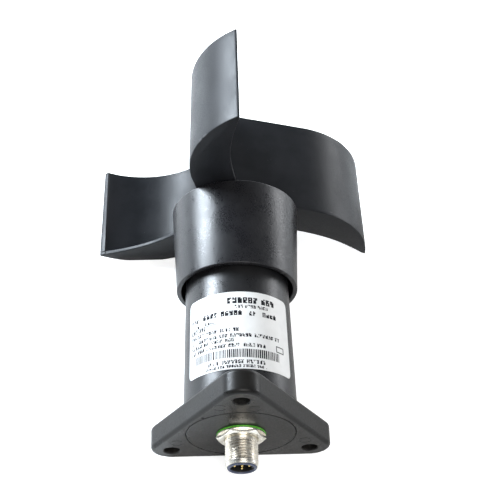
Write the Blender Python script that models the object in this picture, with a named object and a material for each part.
"""Vane anemometer head for a mast or crane: fixed sensor body with a freely turning three-vane rotor.

The rotor shaft is the Z axis.  The origin is the centre of the flange's mounting face, the rotor is
above it (+Z) and the plug connector hangs below it (-Z).  One flange corner points along -Y.
"""
from math import acos, asin, cos, degrees, pi, radians, sin, sqrt, tau

import bmesh
import bpy
from mathutils import Matrix, Vector

MM = 0.001          # every size below is in millimetres and is scaled by this when the mesh is made
GAP = 0.3           # clearance left between pieces that rest on each other
FIT = 0.05          # radial clearance of a shaft in its hole

# Flange and cover
FLANGE_THICKNESS = 9.0
FLANGE_HOLE_CIRCLE = 29.0     # radius of the circle through the three hole centres
FLANGE_HOLE_RADIUS = 3.0
FLANGE_CORNER_RADIUS = 8.0
FLANGE_EDGE_ROUND = 1.4
COVER_RADIUS = 19.65
COVER_THICKNESS = 3.0
GASKET_THICKNESS = 0.8
RECESS_DEPTH = COVER_THICKNESS + GASKET_THICKNESS + 2 * GAP

# Sensor tube
TUBE_FOOT_RADIUS = 20.6
TUBE_DRAFT = 0.021            # radius lost per millimetre of height
TUBE_WALL = 2.8
TUBE_TOP = 79.5
TUBE_WEB = 3.0
BOSS_RADIUS = 10.6
BOSS_BOTTOM = 45.0
BOSS_LIP_RADIUS = 6.2
BOSS_LIP = 2.7

# Ball bearings
BEARING_BORE = 2.5
BEARING_OUTER = 8.0
BEARING_WIDTH = 5.0
BALL_CIRCLE = 5.25
BALL_RADIUS = 1.35
BALL_COUNT = 6
RACE_RADIUS = 1.42
INNER_SHOULDER = 4.15
OUTER_SHOULDER = 6.35
LOWER_BEARING = 50.5          # heights of the bearing centres
UPPER_BEARING = 72.5

# Shaft and what is clamped on it
SHAFT_RADIUS = BEARING_BORE - FIT
SHAFT_BOTTOM = 36.9
SHAFT_TOP = 100.5
CLIP_GROOVE = 47.0
CLIP_THICKNESS = 0.6
CARRIER_RADIUS = 4.6
CARRIER_BOTTOM = 33.0
CARRIER_TOP = 41.0
MAGNET_RADIUS = 3.0
MAGNET_THICKNESS = 2.6
SLEEVE_RADIUS = 4.05
SLEEVE_TOP = 81.2

# Rotor
HUB_SKIRT_BOTTOM = 57.7
HUB_TOP = 93.0
HUB_SKIRT_RADIUS = 23.05
HUB_TOP_RADIUS = 24.6
HUB_WALL = 1.8
HUB_PLATE = 3.0
HUB_BOSS_RADIUS = 6.5
HUB_EDGE_ROUND = 0.9
VANE_COUNT = 3
FIRST_VANE = -88.6            # direction of the first vane's tip at rest, in degrees
VANE_TOP = 134.2
VANE_ARC_RADIUS = 36.6        # outer face of the bulge
VANE_BULGE = 17.9             # furthest distance of that face from the radial line
VANE_PEAK = 33.0              # distance along the radial line where the bulge is widest
VANE_LEAN = 14.3              # degrees between the straight inner run and the radial line
VANE_FOOT_THICKNESS = 2.2
VANE_TOP_THICKNESS = 1.5
VANE_DRAFT = 1.0              # how far the outer face leans in over its height
VANE_STEPS = 20
PLATE_THICKNESS = 1.6
PLATE_EDGE_START = 0.4        # offset of the plate's free edge from the radial line over the hub
PLATE_BOW_START = 24.0        # distance from the axis where the free edge starts to bow
PLATE_BOW = 2.4               # bow of the free edge between there and the tip

# Connector
SEAL_RADIUS = 8.9
SEAL_THICKNESS = 0.4
NUT_FLATS = 15.8
NUT_THICKNESS = 1.6
SHELL_RADIUS = 5.95
SHELL_BORE = 5.45
SHELL_BOTTOM = -12.6
SHELL_COLLAR_RADIUS = 9.0
SHELL_COLLAR = 2.0
SHELL_REAR = 9.0
INSERT_RADIUS = 5.4
INSERT_RIM_RADIUS = 5.2
INSERT_BOTTOM = -13.2
INSERT_SOCKET_RADIUS = 4.1
INSERT_SOCKET_DEPTH = 8.2
PIN_RADIUS = 0.5
PIN_CIRCLE = 2.6
PIN_COUNT = 4                 # on the circle, with one more in the centre

# Electronics
BOARD_RADIUS = 16.6
BOARD_BOTTOM = 27.0
BOARD_THICKNESS = 1.6
BOARD_TOP = BOARD_BOTTOM + BOARD_THICKNESS
POST_CIRCLE = 13.2
POST_FLATS = 4.6
SCREW_RADIUS = 1.1
SCREW_HEAD_RADIUS = 2.1
SCREW_HEAD = 1.5
LEAD_RADIUS = 0.55

# Label
LABEL_BOTTOM = 16.2
LABEL_TOP = 47.2
LABEL_HALF_ANGLE = 61.8
LABEL_THICKNESS = 0.25
LABEL_CORNER = 2.0

ROUND = 48                    # sides of the large visible turned pieces
MEDIUM = 32
SMALL = 24
TINY = 12


def clear_scene():
    for item in list(bpy.data.objects):
        bpy.data.objects.remove(item, do_unlink=True)


def make_material(name, colour, roughness, metallic=0.0):
    material = bpy.data.materials.new(name)
    material.use_nodes = True
    shader = material.node_tree.nodes["Principled BSDF"]
    shader.inputs["Base Color"].default_value = (*colour, 1.0)
    shader.inputs["Roughness"].default_value = roughness
    shader.inputs["Metallic"].default_value = metallic
    return material


# Outlines: lists of (x, y) or (radius, height) points in millimetres

def arc(centre, radius, start, end, steps):
    """Points from start to end, both in degrees and both included."""
    points = []
    for step in range(steps + 1):
        angle = radians(start + (end - start) * step / steps)
        points.append((centre[0] + radius * cos(angle), centre[1] + radius * sin(angle)))
    return points


def hexagon(flats, turn=0.0):
    return arc((0.0, 0.0), flats / sqrt(3.0), turn, turn + 300.0, 5)


def rectangle(width, depth, centre=(0.0, 0.0)):
    x, y = centre
    left, right = x - width / 2, x + width / 2
    front, back = y - depth / 2, y + depth / 2
    return [(left, front), (right, front), (right, back), (left, back)]


def polar(radius, direction):
    return (radius * cos(radians(direction)), radius * sin(radians(direction)))


def tube_radius(height):
    return TUBE_FOOT_RADIUS - TUBE_DRAFT * (height - FLANGE_THICKNESS)


# Objects

def add_object(name, mesh_data, material, smooth_angle=30.0, parent=None):
    """Finish a bmesh built in millimetres and put it in the scene as one object."""
    bmesh.ops.recalc_face_normals(mesh_data, faces=mesh_data.faces)
    bmesh.ops.scale(mesh_data, vec=(MM, MM, MM), verts=mesh_data.verts)
    mesh = bpy.data.meshes.new(name)
    mesh_data.to_mesh(mesh)
    mesh_data.free()
    mesh.shade_smooth()
    mesh.set_sharp_from_angle(angle=radians(smooth_angle))
    mesh.materials.append(material)
    item = bpy.data.objects.new(name, mesh)
    bpy.context.collection.objects.link(item)
    item.parent = parent
    return item


def turned_mesh(outline, sides):
    """Spin a closed (radius, height) outline round the Z axis."""
    mesh_data = bmesh.new()
    corners = [mesh_data.verts.new((radius, 0.0, height)) for radius, height in outline]
    edges = []
    for first, second in zip(corners, corners[1:] + corners[:1]):
        both_on_axis = first.co.x < FIT / 10 and second.co.x < FIT / 10
        if not both_on_axis:
            edges.append(mesh_data.edges.new((first, second)))
    bmesh.ops.spin(mesh_data, geom=corners + edges, cent=(0, 0, 0), axis=(0, 0, 1), angle=tau, steps=sides,
                   use_merge=True)
    bmesh.ops.remove_doubles(mesh_data, verts=mesh_data.verts, dist=FIT / 10)
    return mesh_data


def turned(name, outline, material, sides=MEDIUM, parent=None, location=None):
    item = add_object(name, turned_mesh(outline, sides), material, parent=parent)
    if location:
        item.location = Vector(location) * MM
    return item


def prism_mesh(outline, bottom, top):
    mesh_data = bmesh.new()
    face = mesh_data.faces.new([mesh_data.verts.new((x, y, bottom)) for x, y in outline])
    wall = bmesh.ops.extrude_face_region(mesh_data, geom=[face])
    raised = [part for part in wall["geom"] if isinstance(part, bmesh.types.BMVert)]
    bmesh.ops.translate(mesh_data, vec=(0, 0, top - bottom), verts=raised)
    return mesh_data


def prism(name, outline, bottom, top, material, parent=None):
    return add_object(name, prism_mesh(outline, bottom, top), material, parent=parent)


def cut(item, cutter_name, mesh_data, operation="DIFFERENCE"):
    """Apply a closed cutting shape to an item with an exact Boolean."""
    bmesh.ops.recalc_face_normals(mesh_data, faces=mesh_data.faces)
    bmesh.ops.scale(mesh_data, vec=(MM, MM, MM), verts=mesh_data.verts)
    mesh = bpy.data.meshes.new(cutter_name)
    mesh_data.to_mesh(mesh)
    mesh_data.free()
    cutter = bpy.data.objects.new(cutter_name, mesh)
    bpy.context.collection.objects.link(cutter)
    cutter.hide_render = True
    cutter.display_type = "WIRE"
    cutter.parent = item
    modifier = item.modifiers.new(cutter_name, "BOOLEAN")
    modifier.operation = operation
    modifier.solver = "EXACT"
    modifier.object = cutter
    return cutter


def cylinder_mesh(radius, bottom, top, sides=SMALL, centre=(0.0, 0.0)):
    return prism_mesh(arc(centre, radius, 0.0, 360.0 - 360.0 / sides, sides - 1), bottom, top)


def add_pivot(name):
    pivot = bpy.data.objects.new(name, None)
    pivot.empty_display_size = 0.01
    bpy.context.collection.objects.link(pivot)
    return pivot


# Fixed body

def build_flange(material):
    """Triangular plate with round corners, a stepped bore for cover and tube, and three bolt holes."""
    outline = []
    for corner in range(3):
        direction = -90.0 + 120.0 * corner
        outline += arc(polar(FLANGE_HOLE_CIRCLE, direction), FLANGE_CORNER_RADIUS, direction - 60.0,
                       direction + 60.0, 10)
    mesh_data = prism_mesh(outline, 0.0, FLANGE_THICKNESS)
    rims = [edge for edge in mesh_data.edges if abs(edge.verts[0].co.z - edge.verts[1].co.z) < FIT]
    bmesh.ops.bevel(mesh_data, geom=rims, offset=FLANGE_EDGE_ROUND, segments=2, profile=0.5, affect="EDGES")
    flange = add_object("base_flange", mesh_data, material)
    bore = [(0.0, -1.0), (COVER_RADIUS + GAP, -1.0), (COVER_RADIUS + GAP, RECESS_DEPTH),
            (TUBE_FOOT_RADIUS + GAP, RECESS_DEPTH), (TUBE_FOOT_RADIUS + GAP, FLANGE_THICKNESS + 1.0),
            (0.0, FLANGE_THICKNESS + 1.0)]
    cut(flange, "cut_flange_bore", turned_mesh(bore, ROUND))
    for corner in range(3):
        centre = polar(FLANGE_HOLE_CIRCLE, -90.0 + 120.0 * corner)
        cut(flange, f"cut_bolt_hole_{corner + 1}",
            cylinder_mesh(FLANGE_HOLE_RADIUS, -1.0, FLANGE_THICKNESS + 1.0, SMALL, centre))


def build_tube(material):
    """Drafted tube closed by a top web, with a hanging boss bored for the two bearings."""
    foot = RECESS_DEPTH + GAP
    web = TUBE_TOP - TUBE_WEB
    seat = BOSS_BOTTOM + BOSS_LIP
    bore = BEARING_OUTER + FIT
    groove_bottom = UPPER_BEARING + BEARING_WIDTH / 2 + GAP
    groove_top = groove_bottom + 1.4
    top_radius = tube_radius(TUBE_TOP)
    outline = [(TUBE_FOOT_RADIUS, foot), (TUBE_FOOT_RADIUS, FLANGE_THICKNESS), (top_radius, TUBE_TOP - 0.8),
               (top_radius - 0.8, TUBE_TOP), (bore, TUBE_TOP), (bore, groove_top), (bore + 0.6, groove_top),
               (bore + 0.6, groove_bottom), (bore, groove_bottom), (bore, seat), (BOSS_LIP_RADIUS, seat),
               (BOSS_LIP_RADIUS, BOSS_BOTTOM), (BOSS_RADIUS, BOSS_BOTTOM), (BOSS_RADIUS, web),
               (top_radius - TUBE_WALL, web), (TUBE_FOOT_RADIUS - TUBE_WALL, foot)]
    turned("sensor_tube", outline, material, ROUND)


def build_cover(material, gasket_material):
    hole = SHELL_RADIUS + GAP
    outline = [(hole, 0.0), (COVER_RADIUS - 0.4, 0.0), (COVER_RADIUS, 0.4), (COVER_RADIUS, COVER_THICKNESS),
               (hole, COVER_THICKNESS)]
    turned("bottom_cover", outline, material, ROUND)
    bottom = COVER_THICKNESS + GAP
    inner, outer = TUBE_FOOT_RADIUS - TUBE_WALL + 0.2, COVER_RADIUS - 0.2
    outline = [(inner, bottom), (outer, bottom), (outer, bottom + GASKET_THICKNESS),
               (inner, bottom + GASKET_THICKNESS)]
    turned("cover_gasket", outline, gasket_material, MEDIUM)


def build_label(material):
    """Thin plate with round corners, wrapped round the front of the tube."""
    half = radians(LABEL_HALF_ANGLE) * TUBE_FOOT_RADIUS
    corner = []
    for step in range(5):
        angle = radians(22.5 * step)
        corner.append((half - LABEL_CORNER * (1 - cos(angle)), LABEL_CORNER * (1 - sin(angle))))
    middle_steps = 22
    straight = half - LABEL_CORNER
    middle = [(straight * (1 - 2 * step / middle_steps), 0.0) for step in range(1, middle_steps)]
    columns = corner + middle + [(-along, trim) for along, trim in corner[::-1]]

    mesh_data = bmesh.new()
    layers = []
    for lift in (GAP / 3, GAP / 3 + LABEL_THICKNESS):
        layer = []
        for along, trim in columns:
            angle = along / TUBE_FOOT_RADIUS - pi / 2
            ends = []
            for height in (LABEL_BOTTOM + trim, LABEL_TOP - trim):
                radius = tube_radius(height) + lift
                ends.append(mesh_data.verts.new((radius * cos(angle), radius * sin(angle), height)))
            layer.append(ends)
        layers.append(layer)
    back, front = layers
    for column in range(len(columns) - 1):
        for layer in layers:
            left, right = layer[column], layer[column + 1]
            mesh_data.faces.new((left[0], right[0], right[1], left[1]))
        for end in (0, 1):
            mesh_data.faces.new((back[column][end], back[column + 1][end], front[column + 1][end],
                                 front[column][end]))
    for column in (0, -1):
        mesh_data.faces.new((back[column][0], back[column][1], front[column][1], front[column][0]))
    add_object("label", mesh_data, material)


# Connector

def build_connector(materials):
    """Round five-pin plug held in the cover by a nut over a sealing ring."""
    seal_top = -GAP / 2
    seal_bottom = seal_top - SEAL_THICKNESS
    turned("connector_seal", [(SHELL_RADIUS + GAP, seal_bottom), (SEAL_RADIUS - 0.3, seal_bottom),
                              (SEAL_RADIUS, seal_bottom + 0.3), (SEAL_RADIUS, seal_top),
                              (SHELL_RADIUS + GAP, seal_top)], materials["green_rubber"], MEDIUM)
    nut_top = seal_bottom - GAP / 2
    nut_bottom = nut_top - NUT_THICKNESS
    build_nut("connector_nut", NUT_FLATS, nut_bottom, nut_top, SHELL_RADIUS + 0.1, materials["nickel"])

    collar = COVER_THICKNESS + GAP
    shell = [(SHELL_BORE, SHELL_BOTTOM), (SHELL_RADIUS - 0.3, SHELL_BOTTOM), (SHELL_RADIUS, SHELL_BOTTOM + 0.5),
             (SHELL_RADIUS, collar), (SHELL_COLLAR_RADIUS, collar), (SHELL_COLLAR_RADIUS, collar + SHELL_COLLAR),
             (SHELL_RADIUS + 0.6, collar + SHELL_COLLAR), (SHELL_RADIUS + 0.6, SHELL_REAR),
             (SHELL_BORE, SHELL_REAR)]
    turned("connector_shell", shell, materials["nickel"], MEDIUM)

    outline = [(0.0, INSERT_BOTTOM), (INSERT_RIM_RADIUS - 0.3, INSERT_BOTTOM),
               (INSERT_RIM_RADIUS, INSERT_BOTTOM + 0.3), (INSERT_RIM_RADIUS, SHELL_BOTTOM),
               (INSERT_RADIUS, SHELL_BOTTOM + 0.2), (INSERT_RADIUS, SHELL_REAR - GAP), (0.0, SHELL_REAR - GAP)]
    insert = turned("connector_insert", outline, materials["insert_plastic"], MEDIUM)
    socket_top = INSERT_BOTTOM + INSERT_SOCKET_DEPTH
    key = [(INSERT_SOCKET_RADIUS - 0.7, 0.6), (INSERT_SOCKET_RADIUS - 0.7, -0.6)]
    socket = arc((0.0, 0.0), INSERT_SOCKET_RADIUS, 9.0, 351.0, 28)
    cut(insert, "cut_socket", prism_mesh(socket + key[::-1], INSERT_BOTTOM - 1.0, socket_top))
    pin_places = [(0.0, 0.0)] + [polar(PIN_CIRCLE, 90.0 * index) for index in range(PIN_COUNT)]
    for index, place in enumerate(pin_places):
        cut(insert, f"cut_pin_hole_{index + 1}",
            cylinder_mesh(PIN_RADIUS + FIT, socket_top - 1.0, SHELL_REAR + 1.0, TINY, place))
        tip = INSERT_BOTTOM + 1.0
        pin = [(0.0, tip), (PIN_RADIUS * 0.5, tip), (PIN_RADIUS, tip + 0.5), (PIN_RADIUS, SHELL_REAR + 2.0),
               (0.0, SHELL_REAR + 2.0)]
        turned(f"contact_pin_{index + 1}", pin, materials["gold"], TINY, location=(place[0], place[1], 0.0))


def build_nut(name, flats, bottom, top, hole, material, parent=None):
    """Hexagon with turned chamfers at both ends and a round hole."""
    nut = prism(name, hexagon(flats, 4.0), bottom, top, material, parent)
    corner = flats / sqrt(3.0)
    slope = (corner - flats / 2) * 0.5
    blank = [(hole, bottom - 0.01), (flats / 2 + 0.1, bottom - 0.01), (corner + 0.1, bottom + slope),
             (corner + 0.1, top - slope), (flats / 2 + 0.1, top + 0.01), (hole, top + 0.01)]
    cut(nut, f"cut_{name}", turned_mesh(blank, MEDIUM), "INTERSECT")
    return nut


# Electronics

def build_electronics(materials):
    posts = [polar(POST_CIRCLE, 30.0 + 120.0 * index) for index in range(3)]
    board = turned("circuit_board", [(0.0, BOARD_BOTTOM), (BOARD_RADIUS, BOARD_BOTTOM),
                                     (BOARD_RADIUS, BOARD_TOP), (0.0, BOARD_TOP)], materials["board"], MEDIUM)
    for index, place in enumerate(posts):
        post_bottom = COVER_THICKNESS + GAP
        post_top = BOARD_BOTTOM - GAP
        head_bottom = BOARD_TOP + GAP
        number = index + 1
        cut(board, f"cut_board_hole_{number}",
            cylinder_mesh(SCREW_RADIUS + GAP, BOARD_BOTTOM - 1.0, BOARD_TOP + 1.0, TINY, place))
        hex_points = [(place[0] + x, place[1] + y) for x, y in hexagon(POST_FLATS)]
        post = prism(f"board_post_{number}", hex_points, post_bottom, post_top, materials["brass"])
        cut(post, f"cut_post_hole_{number}",
            cylinder_mesh(SCREW_RADIUS + 0.1, post_top - 8.0, post_top + 1.0, TINY, place))
        screw = [(0.0, post_top - 7.0), (SCREW_RADIUS, post_top - 7.0), (SCREW_RADIUS, head_bottom),
                 (SCREW_HEAD_RADIUS, head_bottom), (SCREW_HEAD_RADIUS, head_bottom + SCREW_HEAD * 0.6),
                 (SCREW_HEAD_RADIUS * 0.7, head_bottom + SCREW_HEAD), (0.0, head_bottom + SCREW_HEAD)]
        turned(f"board_screw_{number}", screw, materials["steel"], TINY, location=(place[0], place[1], 0.0))

    on_top = BOARD_TOP + GAP / 3
    prism("hall_sensor", rectangle(5.0, 4.0), on_top, on_top + 1.5, materials["chip"])
    prism("processor", rectangle(7.0, 7.0, (-8.0, 0.5)), on_top, on_top + 1.2, materials["chip"])
    prism("output_driver", rectangle(6.5, 6.0, (8.5, -4.5)), on_top, on_top + 2.2, materials["chip"])

    lead_ends = [(polar(PIN_CIRCLE, 0.0), (4.0, 6.5)), (polar(PIN_CIRCLE, 180.0), (-4.0, 6.5)),
                 (polar(PIN_CIRCLE, 270.0), (-3.0, -7.0))]
    for index, (start, end) in enumerate(lead_ends):
        build_lead(f"lead_{index + 1}", start, end, materials[f"lead_{index + 1}"])


def build_lead(name, start, end, material):
    """Insulated wire that swings out in an S curve from a pin's rear end to the board."""
    bottom = SHELL_REAR + 2.0 + GAP
    top = BOARD_BOTTOM - GAP
    curve = bpy.data.curves.new(name, "CURVE")
    curve.dimensions = "3D"
    curve.bevel_depth = LEAD_RADIUS * MM
    curve.bevel_resolution = 2
    curve.use_fill_caps = True
    points = 10
    spline = curve.splines.new("POLY")
    spline.points.add(points)
    for index, point in enumerate(spline.points):
        share = index / points
        blend = (1 - cos(pi * share)) / 2
        x = start[0] + (end[0] - start[0]) * blend
        y = start[1] + (end[1] - start[1]) * blend
        point.co = (x * MM, y * MM, (bottom + (top - bottom) * share) * MM, 1.0)
    curve.materials.append(material)
    lead = bpy.data.objects.new(name, curve)
    bpy.context.collection.objects.link(lead)


# Bearings

def build_bearing(level, height, cage_pivot, rotor_pivot, materials):
    """Deep-groove ball bearing: fixed outer ring, turning inner ring, crown cage and balls between."""
    half = BEARING_WIDTH / 2
    reach = degrees(acos((OUTER_SHOULDER - BALL_CIRCLE) / RACE_RADIUS))
    outer_groove = arc((BALL_CIRCLE, height), RACE_RADIUS, reach, -reach, 4)
    inner_groove = arc((BALL_CIRCLE, height), RACE_RADIUS, 180.0 - reach, 180.0 + reach, 4)
    outer = [(BEARING_OUTER, height - half), (BEARING_OUTER, height + half), (OUTER_SHOULDER, height + half)]
    turned(f"bearing_{level}_outer_ring", outer + outer_groove + [(OUTER_SHOULDER, height - half)],
           materials["bearing_steel"], SMALL)
    inner = [(BEARING_BORE, height - half), (BEARING_BORE, height + half), (INNER_SHOULDER, height + half)]
    turned(f"bearing_{level}_inner_ring", inner + inner_groove + [(INNER_SHOULDER, height - half)],
           materials["bearing_steel"], SMALL, rotor_pivot)
    cage = turned(f"bearing_{level}_cage", [(4.75, height - 0.6), (5.75, height - 0.6), (5.75, height + 2.1),
                                            (4.75, height + 2.1)], materials["cage"], SMALL, cage_pivot)
    for index in range(BALL_COUNT):
        x, y = polar(BALL_CIRCLE, 360.0 / BALL_COUNT * index)
        pocket = bmesh.new()
        bmesh.ops.create_uvsphere(pocket, u_segments=8, v_segments=6, radius=BALL_RADIUS + 0.1,
                                  matrix=Matrix.Translation((x, y, height)))
        cut(cage, f"cut_{level}_pocket_{index + 1}", pocket)
        ball = bmesh.new()
        bmesh.ops.create_icosphere(ball, subdivisions=2, radius=BALL_RADIUS)
        item = add_object(f"bearing_{level}_ball_{index + 1}", ball, materials["bearing_steel"], 60.0, cage_pivot)
        item.location = Vector((x, y, height)) * MM


def c_ring(name, inner, outer, bottom, top, opening, material, parent=None):
    """Retaining ring: a flat ring with an opening."""
    start, end = opening / 2, 360.0 - opening / 2
    outline = arc((0.0, 0.0), outer, start, end, 18) + arc((0.0, 0.0), inner, end, start, 18)
    return prism(name, outline, bottom, top, material, parent)


def build_bearing_mounts(materials, rotor_pivot):
    """Spacers, retaining rings and lip seal that hold and close the bearing pair."""
    half = BEARING_WIDTH / 2
    bottom = LOWER_BEARING + half + GAP
    top = UPPER_BEARING - half - GAP
    outer, inner = BEARING_OUTER - FIT, 6.9
    turned("outer_spacer", [(inner, bottom), (outer, bottom), (outer, top), (inner, top)],
           materials["aluminium"], SMALL)
    turned("inner_spacer", [(BEARING_BORE, bottom), (3.7, bottom), (3.7, top), (BEARING_BORE, top)],
           materials["aluminium"], SMALL, rotor_pivot)
    ring_bottom = UPPER_BEARING + half + GAP + 0.2
    c_ring("bore_retaining_ring", 7.0, 8.45, ring_bottom, ring_bottom + 1.0, 40.0, materials["steel"])
    c_ring("shaft_retaining_ring", 2.15, 3.9, CLIP_GROOVE + 0.2, CLIP_GROOVE + 0.2 + CLIP_THICKNESS, 90.0,
           materials["steel"], rotor_pivot)
    seal_bottom = UPPER_BEARING + half + 2.0
    lip = SLEEVE_RADIUS + FIT * 2
    turned("shaft_seal", [(lip, seal_bottom + 0.4), (lip, seal_bottom + 1.0), (5.4, seal_bottom + 1.0),
                          (5.4, seal_bottom + 2.2), (outer, seal_bottom + 2.2), (outer, seal_bottom),
                          (5.0, seal_bottom)], materials["black_rubber"], SMALL)


# Rotor

def build_shaft(materials, pivot):
    groove_top = CLIP_GROOVE + CLIP_THICKNESS + 0.35
    outline = [(0.0, SHAFT_BOTTOM), (SHAFT_RADIUS - 0.4, SHAFT_BOTTOM), (SHAFT_RADIUS, SHAFT_BOTTOM + 0.4),
               (SHAFT_RADIUS, CLIP_GROOVE), (2.05, CLIP_GROOVE), (2.05, groove_top), (SHAFT_RADIUS, groove_top),
               (SHAFT_RADIUS, SHAFT_TOP - 0.5), (SHAFT_RADIUS - 0.5, SHAFT_TOP), (0.0, SHAFT_TOP)]
    turned("rotor_shaft", outline, materials["steel"], SMALL, pivot)
    sleeve_bottom = UPPER_BEARING + BEARING_WIDTH / 2 + GAP
    turned("shaft_sleeve", [(BEARING_BORE, sleeve_bottom), (SLEEVE_RADIUS, sleeve_bottom),
                            (SLEEVE_RADIUS, SLEEVE_TOP), (BEARING_BORE, SLEEVE_TOP)],
           materials["steel"], SMALL, pivot)
    floor = SHAFT_BOTTOM - GAP
    pocket_top = CARRIER_BOTTOM + MAGNET_THICKNESS + 0.4
    pocket = MAGNET_RADIUS + 0.1
    turned("magnet_carrier", [(0.0, floor), (BEARING_BORE, floor), (BEARING_BORE, CARRIER_TOP),
                              (CARRIER_RADIUS, CARRIER_TOP), (CARRIER_RADIUS, CARRIER_BOTTOM),
                              (pocket, CARRIER_BOTTOM), (pocket, pocket_top), (0.0, pocket_top)],
           materials["aluminium"], SMALL, pivot)
    magnet_bottom = CARRIER_BOTTOM + 0.1
    turned("sensing_magnet", [(0.0, magnet_bottom), (MAGNET_RADIUS, magnet_bottom),
                              (MAGNET_RADIUS, magnet_bottom + MAGNET_THICKNESS),
                              (0.0, magnet_bottom + MAGNET_THICKNESS)], materials["magnet"], SMALL, pivot)
    washer_bottom = HUB_TOP + GAP
    washer_top = washer_bottom + 1.0
    turned("rotor_washer", [(2.7, washer_bottom), (5.2, washer_bottom), (5.2, washer_top), (2.7, washer_top)],
           materials["steel"], SMALL, pivot)
    build_nut("rotor_nut", 8.0, washer_top + GAP, washer_top + GAP + 4.0, BEARING_BORE + FIT, materials["steel"],
              pivot)


def build_hub(material, pivot):
    """Cap that hangs over the tube: drafted skirt, top plate and a boss that grips the shaft."""
    plate = HUB_TOP - HUB_PLATE
    bore = BEARING_BORE + FIT
    edge = arc((HUB_TOP_RADIUS - HUB_EDGE_ROUND, HUB_TOP - HUB_EDGE_ROUND), HUB_EDGE_ROUND, 0.0, 90.0, 4)
    outline = [(HUB_SKIRT_RADIUS - HUB_WALL, HUB_SKIRT_BOTTOM), (HUB_SKIRT_RADIUS - 0.4, HUB_SKIRT_BOTTOM),
               (HUB_SKIRT_RADIUS, HUB_SKIRT_BOTTOM + 0.4)] + edge
    outline += [(bore, HUB_TOP), (bore, SLEEVE_TOP + GAP), (HUB_BOSS_RADIUS, SLEEVE_TOP + GAP),
                (HUB_BOSS_RADIUS, plate), (HUB_TOP_RADIUS - HUB_WALL - 0.2, plate)]
    turned("rotor_hub", outline, material, ROUND, pivot)


def vane_face(offset, neighbour_offset):
    """One face of a vane in plan, from its tip to its inner end, as (along, bulge) points.

    Offsets are measured inwards from the outer face at the foot.  Every face has its tip on the radial
    line.  The three straight inner runs close a triangle round the axis, so each stops just short of the
    inner face of the vane beside it.
    """
    centre = (VANE_PEAK, VANE_BULGE - VANE_ARC_RADIUS)
    radius = VANE_ARC_RADIUS - offset
    tip_angle = degrees(asin(-centre[1] / radius))
    points = arc(centre, radius, tip_angle, 90.0 + VANE_LEAN, VANE_STEPS)
    run = run_distance() - offset
    stop = run_distance() - neighbour_offset - GAP
    past_foot = (stop + run / 2) / sin(radians(60.0))
    lean = radians(VANE_LEAN)
    points.append((-run * sin(lean) - past_foot * cos(lean), run * cos(lean) - past_foot * sin(lean)))
    return points


def run_distance():
    """Distance from the axis to the outer face of a straight inner run."""
    lean = radians(VANE_LEAN)
    return VANE_ARC_RADIUS - VANE_PEAK * sin(lean) + (VANE_BULGE - VANE_ARC_RADIUS) * cos(lean)


def beside_next_vane(bulge):
    """Distance along the radial line, at this bulge, that just clears the next vane's outer face."""
    facing = radians(VANE_LEAN - 30.0)
    return (run_distance() + GAP - bulge * sin(facing)) / cos(facing)


def plate_outline():
    """Crescent between the vane's mid-line and a gently bowed free edge."""
    middle = vane_face(VANE_FOOT_THICKNESS / 2, VANE_FOOT_THICKNESS)
    tip = middle[0]
    arc_end, run_end = middle[-2:]
    free_edge = [(beside_next_vane(PLATE_EDGE_START), PLATE_EDGE_START)]
    slope = (arc_end[1] - run_end[1]) / (arc_end[0] - run_end[0])
    inner_end = (arc_end[0], arc_end[1])
    for _ in range(4):
        along = beside_next_vane(inner_end[1])
        inner_end = (along, arc_end[1] + slope * (along - arc_end[0]))
    steps = 12
    for step in range(steps):
        share = step / steps
        free_edge.append((PLATE_BOW_START + (tip[0] - PLATE_BOW_START) * share,
                          PLATE_EDGE_START * (1 - share) + PLATE_BOW * sin(pi * share)))
    return free_edge + middle[:-1] + [inner_end]


def loft_mesh(lower, upper, bottom, top):
    """Closed shape between two outlines with the same number of points."""
    mesh_data = bmesh.new()
    low = [mesh_data.verts.new((x, y, bottom)) for x, y in lower]
    high = [mesh_data.verts.new((x, y, top)) for x, y in upper]
    for index in range(len(low)):
        previous = index - 1
        mesh_data.faces.new((low[previous], low[index], high[index], high[previous]))
    mesh_data.faces.new(low)
    mesh_data.faces.new(high)
    return mesh_data


def build_vane(number, material, pivot):
    """Curved sheet standing on the hub, closed at its foot by a crescent-shaped plate."""
    def handed(points):
        return [(along, -bulge) for along, bulge in points]

    bottom = HUB_TOP + GAP
    foot_inner_offset = VANE_FOOT_THICKNESS
    top_inner_offset = VANE_DRAFT + VANE_TOP_THICKNESS
    foot = vane_face(0.0, foot_inner_offset) + vane_face(foot_inner_offset, foot_inner_offset)[::-1]
    top = vane_face(VANE_DRAFT, top_inner_offset) + vane_face(top_inner_offset, top_inner_offset)[::-1]
    vane = add_object(f"vane_{number}", loft_mesh(handed(foot), handed(top), bottom, VANE_TOP), material,
                      parent=pivot)
    vane.rotation_euler.z = radians(FIRST_VANE + 360.0 / VANE_COUNT * (number - 1))
    cut(vane, f"cut_plate_{number}", prism_mesh(handed(plate_outline()), bottom, bottom + PLATE_THICKNESS),
        "UNION")


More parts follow.
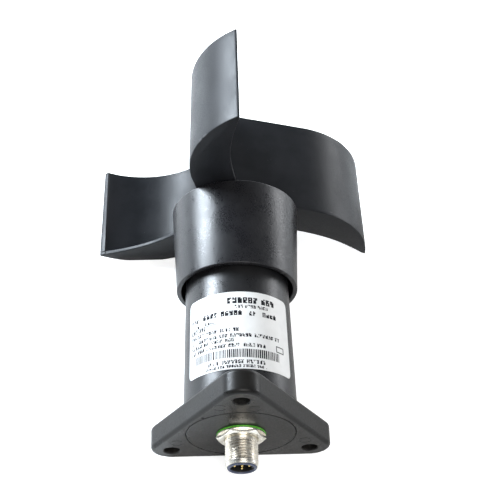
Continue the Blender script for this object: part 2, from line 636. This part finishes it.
def build_materials():
    """Name, colour, roughness and metallic value of every material."""
    table = {
        "black_housing": ((0.020, 0.021, 0.023), 0.55, 0.0),
        "black_rotor": ((0.022, 0.024, 0.028), 0.42, 0.0),
        "label_vinyl": ((0.86, 0.86, 0.85), 0.30, 0.0),
        "black_rubber": ((0.015, 0.015, 0.015), 0.75, 0.0),
        "green_rubber": ((0.10, 0.42, 0.04), 0.45, 0.0),
        "nickel": ((0.72, 0.69, 0.62), 0.22, 1.0),
        "insert_plastic": ((0.035, 0.040, 0.060), 0.45, 0.0),
        "gold": ((0.86, 0.64, 0.25), 0.20, 1.0),
        "brass": ((0.70, 0.52, 0.22), 0.30, 1.0),
        "steel": ((0.60, 0.60, 0.60), 0.28, 1.0),
        "bearing_steel": ((0.68, 0.68, 0.68), 0.15, 1.0),
        "aluminium": ((0.66, 0.67, 0.68), 0.35, 1.0),
        "magnet": ((0.30, 0.30, 0.31), 0.35, 1.0),
        "cage": ((0.62, 0.60, 0.52), 0.50, 0.0),
        "board": ((0.015, 0.11, 0.045), 0.40, 0.0),
        "chip": ((0.018, 0.018, 0.019), 0.45, 0.0),
        "lead_1": ((0.30, 0.13, 0.05), 0.45, 0.0),
        "lead_2": ((0.70, 0.70, 0.68), 0.45, 0.0),
        "lead_3": ((0.03, 0.10, 0.40), 0.45, 0.0),
    }
    return {name: make_material(name, *values) for name, values in table.items()}


def main():
    clear_scene()
    materials = build_materials()
    rotor_pivot = add_pivot("rotor_spin")
    build_flange(materials["black_housing"])
    build_tube(materials["black_housing"])
    build_cover(materials["black_housing"], materials["black_rubber"])
    build_label(materials["label_vinyl"])
    build_connector(materials)
    build_electronics(materials)
    for level, height in (("lower", LOWER_BEARING), ("upper", UPPER_BEARING)):
        build_bearing(level, height, add_pivot(f"{level}_cage_spin"), rotor_pivot, materials)
    build_bearing_mounts(materials, rotor_pivot)
    build_shaft(materials, rotor_pivot)
    build_hub(materials["black_rotor"], rotor_pivot)
    for number in range(1, VANE_COUNT + 1):
        build_vane(number, materials["black_rotor"], rotor_pivot)


main()
